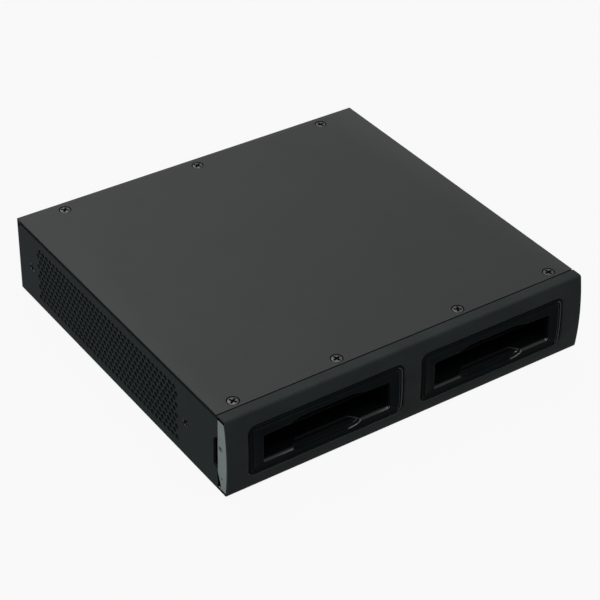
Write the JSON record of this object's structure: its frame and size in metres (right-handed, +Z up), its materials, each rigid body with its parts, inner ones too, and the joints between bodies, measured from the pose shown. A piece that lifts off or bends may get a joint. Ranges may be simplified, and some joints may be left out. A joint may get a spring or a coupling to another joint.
{
  "type": "network storage dock",
  "caption": "Flat half-width desktop dock with recessed front bays for removable drives, a perforated side and a fan-cooled rear with network sockets.",
  "frame": {"origin": "centre of the whole object's footprint, on the surface that the rubber feet stand on", "axes": "+X to the right seen from the front, +Y from the front bezel to the rear panel, +Z up"},
  "size_m": [0.215, 0.2046, 0.046],
  "materials": {
    "cover_paint": "satin fine-texture dark grey paint",
    "housing_paint": "satin black-grey paint",
    "bezel_plastic": "fine-grained black moulding",
    "end_cap_grey": "satin light grey",
    "frame_gloss": "polished black moulding",
    "cage_plastic": "plain black moulding",
    "connector_plastic": "black connector housing",
    "board_laminate": "green solder mask",
    "chip_black": "moulded chip package",
    "sink_aluminium": "natural extruded",
    "can_aluminium": "drawn can",
    "cell_steel": "bright cell case",
    "shell_steel": "plated shell",
    "zinc_steel": "zinc plated",
    "screw_black": "black oxide",
    "fan_plastic": "black moulding",
    "rocker_plastic": "smooth black moulding",
    "plunger_plastic": "grey moulding",
    "foot_rubber": "matt black rubber"
  },
  "bodies": {
    "enclosure": {"base_pan": "housing_paint", "rear_panel": "housing_paint", "top_cover": "cover_paint", "right_side_panel": "housing_paint", "left_side_panel": "housing_paint", "front_bezel": "bezel_plastic", "bezel_end_cap_right": "end_cap_grey", "bezel_end_cap_left": "end_cap_grey", "bay_frame_right": "frame_gloss", "bay_frame_left": "frame_gloss", "drive_guide_right": "cage_plastic", "drive_guide_left": "cage_plastic", "drive_connector_right": "connector_plastic", "drive_connector_left": "connector_plastic", "drive_backplane": "board_laminate", "main_board": "board_laminate", "board_standoffs": "zinc_steel", "board_screws": "zinc_steel", "board_link": "connector_plastic", "processor": "chip_black", "heat_sink": "sink_aluminium", "memory_chips": "chip_black", "capacitors": "can_aluminium", "cell_holder": "connector_plastic", "coin_cell": "cell_steel", "network_jack_1": "shell_steel", "network_jack_2": "shell_steel", "usb_port": "shell_steel", "power_inlet": "connector_plastic", "power_switch_housing": "connector_plastic", "reset_switch_housing": "connector_plastic", "fan_frame": "fan_plastic", "top_cover_screws": "screw_black", "side_screws": "screw_black", "rear_panel_screws": "screw_black", "fan_screws": "screw_black", "bezel_screws": "zinc_steel", "guide_screws": "zinc_steel", "rubber_feet": "foot_rubber"},
    "fan": {"fan_rotor": "fan_plastic"},
    "rocker": {"power_rocker": "rocker_plastic"},
    "reset_button": {"reset_plunger": "plunger_plastic"}
  },
  "joints": [
    {"name": "fan_spin", "type": "hinge", "parent": "enclosure", "child": "fan", "pos_m": [0.045, 0.08881, 0.02325], "axis": [0, 1, 0], "continuous": true},
    {"name": "power_rocker_tilt", "type": "hinge", "parent": "enclosure", "child": "rocker", "pos_m": [0.078, 0.09841, 0.024], "axis": [0, 0, 1], "range_deg": [0, 16]},
    {"name": "reset_push", "type": "slide", "parent": "enclosure", "child": "reset_button", "axis": [0, -1, 0], "range_m": [0, 0.0008], "stiffness_N_per_m": 1000, "springref_m": -0.0004}
  ]
}
